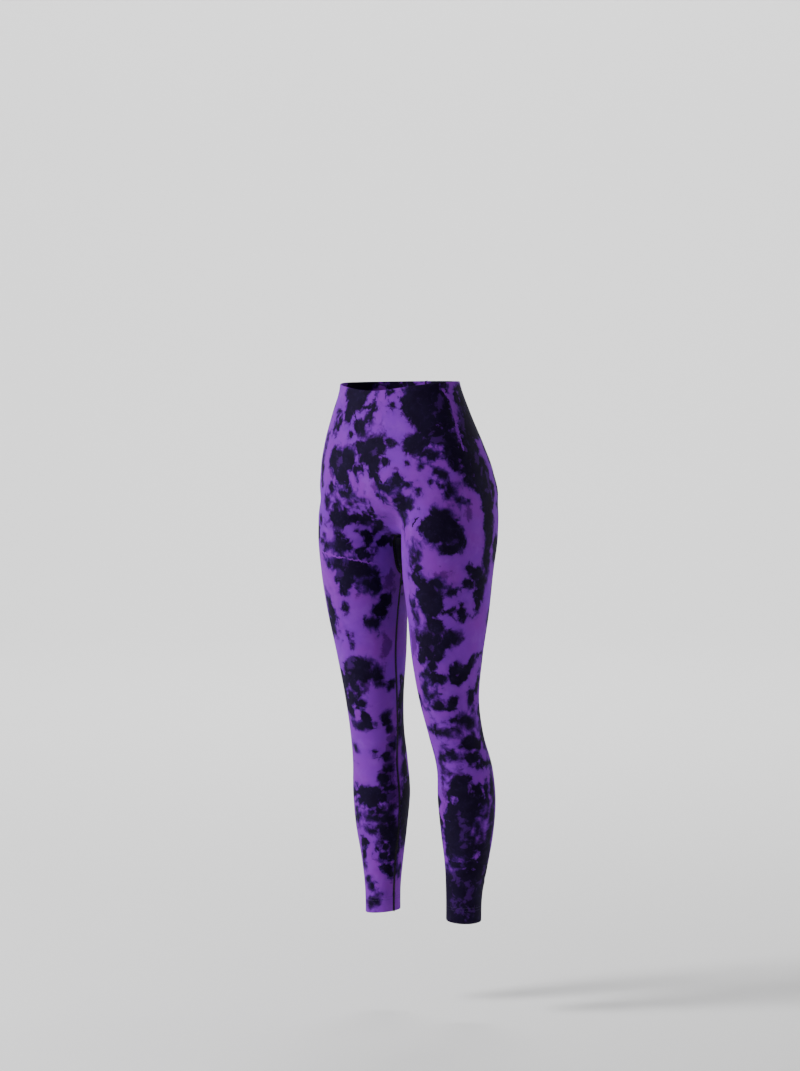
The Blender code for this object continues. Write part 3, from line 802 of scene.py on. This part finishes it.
def gusset_grid():
    along = np.gradient(gusset_half, axis=0)
    along[0], along[-1] = (1, 0, 0), (-1, 0, 0)
    inward = np.cross(along, outward(gusset_half))
    away = gusset_half + inward / np.linalg.norm(inward, axis=-1, keepdims=True) * GUSSET_GAP - FAN_CENTRE
    away[[0, -1], 0] = 0.0
    tilt = np.arctan2(away[:, 1], away[:, 2])
    spread = np.arcsin(away[:, 0] / np.linalg.norm(away, axis=-1))
    across = np.sin(np.linspace(-1, 1, GUSSET_COLUMNS + 1) * math.pi / 2)
    ridge = np.linspace(tilt[0], tilt[-1], len(tilt))
    tilts = ridge[:, None] + (tilt - ridge)[:, None] * across ** 2
    return seen_from_fork(tilts, spread[:, None] * across)


leaf = gusset_grid()
leaf_normals = outward(leaf)
leaf[[0, -1]], leaf_normals[[0, -1]] = leaf[[0, -1], :1], leaf_normals[[0, -1], :1]
leaf_outer = leaf - leaf_normals * seam_groove(leaf)[..., None]
leaf_outer[[0, -1]] = leaf_outer[[0, -1], :1]
leaf_values = look_of(leaf, leaf_normals, np.linspace(0, -0.14, len(leaf)), 1)
# The gusset is made dark all over: painted shade for the fork between the legs, where it lies in shadow.
leaf_values[..., 0] = np.maximum(leaf_values[..., 0], 7.0)
gusset = make_shell("leggings_gusset", [(lean(leaf_outer), lean((leaf - leaf_normals * WALL)[::2, ::2]), 0, leaf_values)])


# %% [markdown]
# ## Turned-in edges
#
# At the waist and at each ankle the cloth folds in over the top of a band
# inside. The band's own edge is rounded on the inside, so that it and the
# panel's edge read as one fold.

# %% Turnings
def turning(name, rows, levels, depths, sides):
    halves = []
    for side in sides:
        grid = rows[:, ::2] * (side, 1, 1)
        normals = outward(grid)
        inset = WALL + SEAM_GAP + creased(grid, normals)
        values = look_of(grid, normals, levels, side)
        outer = grid - normals * inset[..., None]
        inner = grid - normals * (inset + WALL - rounded(depths)[:, None])[..., None]
        if len(sides) > 1:
            outer[:, 0, 0] = inner[:, 0, 0] = 0.0
        halves.append((lean(outer), lean(inner), values))
    if len(halves) > 1:
        for k in (0, 1):
            halves[1][k][:, 0] = halves[0][k][:, 0]
    free_from = None if len(sides) > 1 else 0
    return make_shell(name, [(outer, inner, free_from, values) for outer, inner, values in halves])


def row_at(level):
    """The panel's row at a level between two of its rows."""
    below = int(np.argmax(LEVELS <= level))
    share = (LEVELS[below - 1] - level) / (LEVELS[below - 1] - LEVELS[below])
    return LEFT[below - 1] * (1 - share) + LEFT[below] * share


waist_levels = [*LEVELS[LEVELS > -WAIST_TURNING], -WAIST_TURNING]
waist_rows = np.array([row_at(level) for level in waist_levels])
waist_turning = turning("leggings_waist_turning", waist_rows, waist_levels, -np.array(waist_levels), (1, -1))
hem_levels = [HEM_Z + HEM_TURNING, *LEVELS[LEVELS < HEM_Z + HEM_TURNING]]
hem_rows = np.array([row_at(level) for level in hem_levels])
hem_turnings = {
    name: turning(f"leggings_{name}_hem_turning", hem_rows, hem_levels, np.array(hem_levels) - HEM_Z, (side,))
    for name, side in (("left", 1), ("right", -1))
}


# %% [markdown]
# ## Thread
#
# Stitches repeat along a line, so a small Geometry Nodes tree lays them: it
# walks along the line, puts a grain-shaped stitch at each step, turns it to
# lie on the cloth and slants it. The line carries the cloth's outward
# direction as an attribute.

# %% Stitch tree
def stitch_tree():
    tree = bpy.data.node_groups.new("stitches", "GeometryNodeTree")
    face = tree.interface
    face.new_socket("Line", in_out="INPUT", socket_type="NodeSocketGeometry")
    for label, value in (("Spacing", 0.0015), ("Length", 0.005), ("Width", 0.0008), ("Height", 0.0006), ("Slant", 1.2), ("Unevenness", 0.08)):
        face.new_socket(label, in_out="INPUT", socket_type="NodeSocketFloat").default_value = value
    face.new_socket("Material", in_out="INPUT", socket_type="NodeSocketMaterial")
    face.new_socket("Stitches", in_out="OUTPUT", socket_type="NodeSocketGeometry")
    link = tree.links.new
    given = tree.nodes.new("NodeGroupInput").outputs

    def node(kind, settings=(), **inputs):
        made = tree.nodes.new(kind)
        for label, value in dict(settings).items():
            setattr(made, label, value)
        for label, value in inputs.items():
            socket = made.inputs[label.replace("_", " ")]
            if isinstance(value, bpy.types.NodeSocket):
                link(value, socket)
            else:
                socket.default_value = value
        return made

    line = node("GeometryNodeMeshToCurve", Mesh=given["Line"])
    walk = node("GeometryNodeResampleCurve", {"mode": "LENGTH"}, Curve=line.outputs["Curve"], Length=given["Spacing"])
    out = node("GeometryNodeInputNamedAttribute", {"data_type": "FLOAT_VECTOR"}, Name="out")
    upright = node("FunctionNodeAlignRotationToVector", {"axis": "Z"}, Vector=out.outputs["Attribute"])
    along = node("FunctionNodeAlignRotationToVector", {"axis": "X", "pivot_axis": "Z"},
                 Rotation=upright.outputs["Rotation"], Vector=node("GeometryNodeInputTangent").outputs["Tangent"])
    jitter = node("FunctionNodeRandomValue", {"data_type": "FLOAT"}, Seed=11)
    jitter.inputs["Min"].default_value, jitter.inputs["Max"].default_value = -1.0, 1.0
    swing = node("ShaderNodeMath", {"operation": "MULTIPLY_ADD"})
    link(jitter.outputs["Value"], swing.inputs[0])
    link(given["Unevenness"], swing.inputs[1])
    link(given["Slant"], swing.inputs[2])
    turn = node("FunctionNodeAxisAngleToRotation", Axis=(0.0, 0.0, 1.0), Angle=swing.outputs["Value"])
    rotation = node("FunctionNodeRotateRotation", {"rotation_space": "LOCAL"}, Rotation=along.outputs["Rotation"], Rotate_By=turn.outputs["Rotation"])
    size = node("ShaderNodeCombineXYZ", X=given["Length"], Y=given["Width"], Z=given["Height"])
    grain = node("GeometryNodeMeshUVSphere", Segments=6, Rings=4, Radius=0.5)
    laid = node("GeometryNodeInstanceOnPoints", Points=walk.outputs["Curve"], Instance=grain.outputs["Mesh"],
                Rotation=rotation.outputs["Rotation"], Scale=size.outputs["Vector"])
    real = node("GeometryNodeRealizeInstances", Geometry=laid.outputs["Instances"])
    dressed = node("GeometryNodeSetMaterial", Geometry=real.outputs["Geometry"], Material=given["Material"])
    link(dressed.outputs["Geometry"], node("NodeGroupOutput").inputs["Stitches"])
    return tree


STITCHES = stitch_tree()


def sew(lines, material, **sizes):
    """Stitches along each line of points, raised from the form by a height. Gives one mesh for each line."""
    meshes = []
    for points, height in lines:
        out = outward(points)
        base = bpy.data.meshes.new("line")
        base.from_pydata(lean(points + out * height).tolist(), [(k, k + 1) for k in range(len(points) - 1)], [])
        base.attributes.new("out", "FLOAT_VECTOR", "POINT").data.foreach_set("vector", out.astype(np.float32).ravel())
        holder = bpy.data.objects.new("line", base)
        bpy.context.scene.collection.objects.link(holder)
        layer = holder.modifiers.new("stitches", "NODES")
        layer.node_group = STITCHES
        for item in STITCHES.interface.items_tree:
            if item.in_out == "INPUT" and item.name in sizes:
                layer[item.identifier] = sizes[item.name]
            elif item.in_out == "INPUT" and item.name == "Material":
                layer[item.identifier] = material
        bpy.context.view_layer.update()
        made = bpy.data.meshes.new_from_object(holder.evaluated_get(bpy.context.evaluated_depsgraph_get()))
        holder.modifiers.clear()
        bpy.data.objects.remove(holder)
        meshes.append(made)
    return meshes


def one_piece(name, meshes, material):
    """All the meshes as one object, smooth."""
    together = bmesh.new()
    for mesh in meshes:
        together.from_mesh(mesh)
    mesh = bpy.data.meshes.new(name)
    for face in together.faces:
        face.material_index = 0
    together.to_mesh(mesh)
    together.free()
    mesh.materials.append(material)
    mesh.shade_smooth()
    piece = bpy.data.objects.new(name, mesh)
    bpy.context.scene.collection.objects.link(piece)
    print(f"{name}: {sum(len(face.vertices) - 2 for face in mesh.polygons)} triangles")
    return piece


# %% [markdown]
# ## Shader arithmetic
#
# A small wrapper lets a shader be written as a sum: each value that comes out
# of a node can be added to, multiplied and compared, and any other node is
# made by one method that takes its settings first and its inputs after.

# %% Sockets that can be reckoned with
class Value:
    def __init__(self, shader, socket):
        self.shader, self.socket = shader, socket

    def math(self, operation, *others, clamp=False):
        return self.shader.node("Math", {"operation": operation, "use_clamp": clamp}, *[self, *others])

    def __add__(self, other):
        return self.math("ADD", other)

    def __mul__(self, other):
        return self.math("MULTIPLY", other)

    def __sub__(self, other):
        return self.math("SUBTRACT", other)

    def __rsub__(self, other):
        return self.shader.node("Math", {"operation": "SUBTRACT"}, other, self)

    def __truediv__(self, other):
        return self.math("DIVIDE", other)

    __radd__, __rmul__ = __add__, __mul__

    def above(self, low, high):
        """0 below low, 1 above high, and smooth between."""
        return self.shader.node("MapRange", {"interpolation_type": "SMOOTHSTEP"}, self, low, high, 0.0, 1.0)


class Shader:
    """A material being made."""

    def __init__(self, name):
        self.material = bpy.data.materials.new(name)
        self.material.use_nodes = True
        self.tree = self.material.node_tree
        self.tree.nodes.clear()

    def node(self, kind, settings=(), *values, output=0, **named):
        made = self.tree.nodes.new("ShaderNode" + kind)
        for label, value in dict(settings).items():
            setattr(made, label, value)
        places = [socket for socket in made.inputs if socket.enabled]
        pairs = list(zip(places, values)) + [(made.inputs[label.replace("_", " ")], value) for label, value in named.items()]
        for place, value in pairs:
            if isinstance(value, Value):
                self.tree.links.new(value.socket, place)
            else:
                place.default_value = value
        found = [socket for socket in made.outputs if socket.enabled]
        return Value(self, found[output] if isinstance(output, int) else made.outputs[output])

    def mix(self, share, low, high, blend="MIX"):
        return self.node("Mix", {"data_type": "RGBA", "blend_type": blend}, share, low, high)

    def noise(self, place, scale, detail=2.0, roughness=0.5, distortion=0.0):
        return self.node("TexNoise", {}, Vector=place, Scale=scale, Detail=detail, Roughness=roughness, Distortion=distortion)

    def finish(self, surface):
        end = self.tree.nodes.new("ShaderNodeOutputMaterial")
        self.tree.links.new(surface.socket, end.inputs["Surface"])
        return self.material


def colour(red, green, blue):
    """A screen colour from 0 to 255, as the linear light that shaders use."""
    parts = [v / 255 for v in (red, green, blue)]
    return (*[p / 12.92 if p <= 0.04045 else ((p + 0.055) / 1.055) ** 2.4 for p in parts], 1.0)


# %% [markdown]
# ## Materials
#
# The knit is dyed purple all through, and the dark dye lies on top of that; the same dark is also painted shade on the
# gusset and in the gap between the legs, and a deep violet veil is painted shade down the far leg's inner side.
# The number of millimetres inside a blotch is frayed with noise at two
# scales, and then three limits turn it into the purple, a plum fringe and the
# near black. Fine ribs follow the cloth's own flat coordinates.

# %% Dyed knit
def hairline(shader, place, wobble, part, down, around, end_down, end_around, width):
    """1 along a thin line between two places on the cloth, and 0 away from it."""
    ends = [spot(part, down, around), spot(part, end_down, end_around)]
    start, end = (lean(place_of[0]) for place_of in ends)
    out = ends[0][1] + ends[1][1]
    along = (end - start) / np.linalg.norm(end - start)
    across = np.cross(out, along)
    reach = np.linalg.norm(end - start) / 2
    away = shader.node("VectorMath", {"operation": "SUBTRACT"}, place, tuple((start + end) / 2))

    def measured(direction):
        direction = direction / np.linalg.norm(direction)
        return shader.node("VectorMath", {"operation": "DOT_PRODUCT"}, away, tuple(direction), output="Value")

    from_line = (measured(across) * 1000 + (wobble - 0.5) * 10.0).math("ABSOLUTE")
    from_middle = measured(along).math("ABSOLUTE") / reach
    near_side = measured(out).above(-0.035, -0.030)
    return (1.0 - from_line.above(width / 2 - 0.6, width / 2 + 0.6)) * (1.0 - from_middle.above(0.7, 1.0)) * near_side


def dyed_knit(name):
    shader = Shader(name)
    node, noise, mix = shader.node, shader.noise, shader.mix
    place = node("TexCoord", output="Object")
    inside = node("Attribute", {"attribute_name": "dye_and_shade"}, output="Fac")
    veil_and_shade = node("Attribute", {"attribute_name": "veil_and_shade"}, output="Fac")
    glow = node("Attribute", {"attribute_name": "glow"}, output="Fac")
    seam = node("Attribute", {"attribute_name": "seam"}, output="Fac")
    flat = node("UVMap", {"uv_map": "flat"})

    # places pushed about, so that the noise has tongues and not just lumps
    drift = node("TexNoise", {}, Vector=place, Scale=38.0, Detail=3.0, output="Color")
    pushed = node("VectorMath", {"operation": "MULTIPLY_ADD"}, drift, (0.022, 0.022, 0.022), place)
    drift = node("TexNoise", {}, Vector=place, Scale=150.0, Detail=2.0, output="Color")
    torn = node("VectorMath", {"operation": "MULTIPLY_ADD"}, drift, (0.006, 0.006, 0.006), pushed)
    broad = noise(place, 9.0, 3.0, 0.55)
    lumps = noise(torn, 48.0, 4.0, 0.60)
    fine = noise(torn, 190.0, 3.0, 0.60)
    cells = node("TexVoronoi", {"feature": "F1"}, Vector=torn, Scale=95.0, output="Distance")
    frayed = inside + 0.3 + (lumps - 0.5) * 21.0 + (fine - 0.5) * 8.0 + (cells - 0.45) * 7.0
    # Hairlines darken or pale the dye; those along worn creases are partly painted highlight and painted shade.
    for vein in VEINS_AND_CREASE_SHADING:
        strength = hairline(shader, place, fine, *vein[:-1])
        frayed = frayed + strength * (16.0 if vein[-1] == "dark" else -16.0)
    softness = 1.0 + noise(place, 17.0, 2.0).above(0.42, 0.62) * 3.4
    dark = (frayed / softness).above(-0.9, 1.1)
    fringe = ((frayed + 2.0) / softness).above(-1.6, 0.6)
    haze = frayed.above(-12.0, 1.0)
    # The veil deepens the violet: weak dye, and down the far leg's inner side painted shade.
    weak_dye_and_shade = (veil_and_shade + (lumps - 0.5) * 50.0 + (fine - 0.5) * 12.0).above(-3.0, 5.0)
    thin = (glow + (noise(torn, 62.0, 4.0, 0.6) - 0.5) * 60.0 + (cells - 0.45) * 10.0).above(-2.0, 6.0)

    soft = mix(broad.above(0.34, 0.66), colour(105, 34, 158), colour(114, 36, 153))
    soft = mix(lumps.above(0.42, 0.75) * 0.5, soft, colour(122, 54, 170))
    soft = mix(haze * 0.42, soft, colour(62, 14, 110))
    # painted shade and weak dye: the veil turns the purple deep violet
    soft = mix(weak_dye_and_shade * 0.72, soft, colour(58, 6, 86))
    plum = mix(broad.above(0.4, 0.6), colour(44, 4, 72), colour(36, 4, 80))
    black = mix(noise(place, 34.0, 4.0, 0.6).above(0.3, 0.7), colour(12, 3, 28), colour(17, 8, 36))
    black = mix(noise(torn, 120.0, 3.0, 0.6).above(0.5, 0.8) * 0.6, black, colour(34, 18, 60))
    black = mix(thin * 0.62, black, colour(60, 18, 96))
    surface = mix(fringe * 0.78, soft, plum)
    surface = mix(dark, surface, black)
    surface = mix((1.0 - seam.above(1.2, 3.2)) * 0.92, surface, colour(6, 3, 12))

    wale = node("TexWave", {"wave_type": "BANDS", "bands_direction": "X", "wave_profile": "SIN"}, Vector=flat, Scale=260.0, Distortion=0.6, Detail=1.0)
    course = node("TexWave", {"wave_type": "BANDS", "bands_direction": "Y", "wave_profile": "SIN"}, Vector=flat, Scale=330.0, Distortion=0.8, Detail=1.0)
    relief = wale * 0.7 + course * 0.3 + noise(place, 900.0, 2.0, 0.6) * 0.5
    bump = node("Bump", {}, Strength=0.18, Distance=0.0004, Height=relief)
    slow = node("Bump", {}, Strength=0.2, Distance=0.004, Height=noise(place, 22.0, 3.0, 0.5), Normal=bump)

    cloth = node(
        "BsdfPrincipled", {}, Base_Color=surface, Roughness=0.76 + (fine - 0.5) * 0.1, Normal=slow,
        Sheen_Weight=0.02, Sheen_Roughness=0.5, Sheen_Tint=(0.6, 0.4, 1.0, 1.0), Specular_IOR_Level=0.07,
    )
    return shader.finish(cloth)


# %% Thread
def thread(name, dark, light):
    shader = Shader(name)
    place = shader.node("TexCoord", output="Object")
    twist = shader.noise(place, 1400.0, 2.0, 0.5)
    bump = shader.node("Bump", {}, Strength=0.4, Distance=0.0002, Height=twist)
    surface = shader.mix(twist.above(0.3, 0.7), colour(*dark), colour(*light))
    return shader.finish(shader.node(
        "BsdfPrincipled", {}, Base_Color=surface, Roughness=0.55 + twist * 0.1, Normal=bump, Specular_IOR_Level=0.3,
    ))


knit = dyed_knit("tie_dye_knit")
knit_inside = dyed_knit("tie_dye_knit_inside")
dark_thread = thread("near_black_thread", (3, 2, 6), (12, 8, 20))
violet_thread = thread("violet_thread", (20, 8, 44), (40, 16, 76))
for piece in (panel, gusset):
    piece.data.materials.append(knit)
for piece in (waist_turning, *hem_turnings.values()):
    piece.data.materials.append(knit_inside)
print("materials:", [m.name for m in bpy.data.materials])

# %% Seam and hem stitches
def beside(line, offset):
    """The line moved sideways over the cloth."""
    side = np.cross(outward(line), np.gradient(line, axis=0))
    return line + side / np.linalg.norm(side, axis=-1, keepdims=True) * offset


seams = [closely(np.concatenate([line, line[:1]]) if name == "gusset" else line, 0.003) for name, line in SEAMS.items()]
cover = sew([(line, -0.0003) for line in seams], dark_thread, Spacing=0.0014, Length=0.0052, Width=0.0009, Height=0.0007, Slant=1.15)
rows = sew([(beside(line, offset), -0.0002) for line in seams for offset in (-0.0021, 0.0021)], dark_thread,
           Spacing=0.0026, Length=0.0024, Width=0.0008, Height=0.0007, Slant=0.0)
seam_thread = one_piece("seam_thread", cover + rows, dark_thread)
hem_lines = [closely(row_at(HEM_Z + height) * (side, 1, 1), 0.003) for height in (0.023, 0.028) for side in (1, -1)]
hem_thread = one_piece("hem_thread", sew([(line, 0.0) for line in hem_lines], violet_thread,
                       Spacing=0.0030, Length=0.0024, Width=0.0007, Height=0.0005, Slant=0.0, Unevenness=0.05), violet_thread)


# %% [markdown]
# ## Setting
#
# A plain pale floor that curves up into a wall all round, a soft key light from the left, a weaker one from the right
# front, a little from the back, and one aimed at the wall behind.

# %% Floor, lights and world
def studio_bowl(floor_z, flat=7.0, bend=2.0, height=7.0, around=72):
    """A round floor that curves up into a wall on every side, wider than any view of the object."""
    turns = np.linspace(0, math.pi / 2, 20)
    profile = [(flat * share, floor_z) for share in (0.02, 0.1, 0.3, 0.6)]
    profile += [(flat + bend * math.sin(t), floor_z + bend * (1 - math.cos(t))) for t in turns] + [(flat + bend, floor_z + height)]
    angles = np.linspace(0, 2 * math.pi, around, endpoint=False)
    points = [(r * math.cos(a), r * math.sin(a), z) for r, z in profile for a in angles]
    faces = [tuple(range(around))]
    faces += [
        (around * k + i, around * (k + 1) + i, around * (k + 1) + (i + 1) % around, around * k + (i + 1) % around)
        for k in range(len(profile) - 1) for i in range(around)
    ]
    mesh = bpy.data.meshes.new("floor")
    mesh.from_pydata(points, [], faces)
    mesh.shade_smooth()
    floor = bpy.data.objects.new("floor", mesh)
    bpy.context.scene.collection.objects.link(floor)
    return floor


floor = studio_bowl(-1.13)
plain = Shader("pale_floor")
floor.data.materials.append(plain.finish(plain.node("BsdfPrincipled", {}, Base_Color=(0.88, 0.88, 0.88, 1.0), Roughness=0.9)))


def from_view(right, towards, up):
    """A place by how far it is to the camera's right, towards the camera and up, in metres."""
    flat_back = back_to_camera.copy()
    flat_back.z = 0
    flat_back.normalize()
    return tuple(flat_back * towards + Vector((-flat_back.y, flat_back.x, 0)) * right + Vector((0, 0, up)))


def soft_light(name, place, size, watts, aim=(0.0, 0.0, -0.45)):
    lamp = bpy.data.lights.new(name, "AREA")
    lamp.shape, lamp.size, lamp.energy = "DISK", size, watts
    holder = bpy.data.objects.new(name, lamp)
    bpy.context.scene.collection.objects.link(holder)
    holder.location = place
    holder.rotation_euler = (Vector(place) - Vector(aim)).to_track_quat("Z", "Y").to_euler()
    return holder


lights = [
    soft_light("key", from_view(-3.5, 1.2, 1.9), 1.4, 262.0),
    soft_light("fill", from_view(2.9, 2.1, -0.1), 1.3, 12.0),
    soft_light("rim", from_view(3.2, -1.6, 1.0), 1.6, 25.0),
    soft_light("wall_light", from_view(0.0, -3.4, 5.2), 3.0, 640.0, aim=from_view(0.0, -9.0, 0.6)),
]
world = bpy.data.worlds.new("studio")
world.use_nodes = True
world.node_tree.nodes["Background"].inputs["Color"].default_value = (0.8, 0.8, 0.82, 1.0)
world.node_tree.nodes["Background"].inputs["Strength"].default_value = 0.13
bpy.context.scene.world = world
print("lights:", [light.name for light in lights])

# %% [markdown]
# ## Hand over to the frame
#
# Each piece takes its solid's place and rides on the one body.

# %% Pieces and the frame
REPLACED = {
    panel: "body_panel",
    gusset: "crotch_gusset",
    waist_turning: "waist_turning",
    hem_turnings["left"]: "left_hem_turning",
    hem_turnings["right"]: "right_hem_turning",
}
for piece, node in REPLACED.items():
    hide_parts(node)
    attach(piece, "root")
for piece in (seam_thread, hem_thread):
    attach(piece, "root")

# %% Finish
bpy.context.view_layer.update()
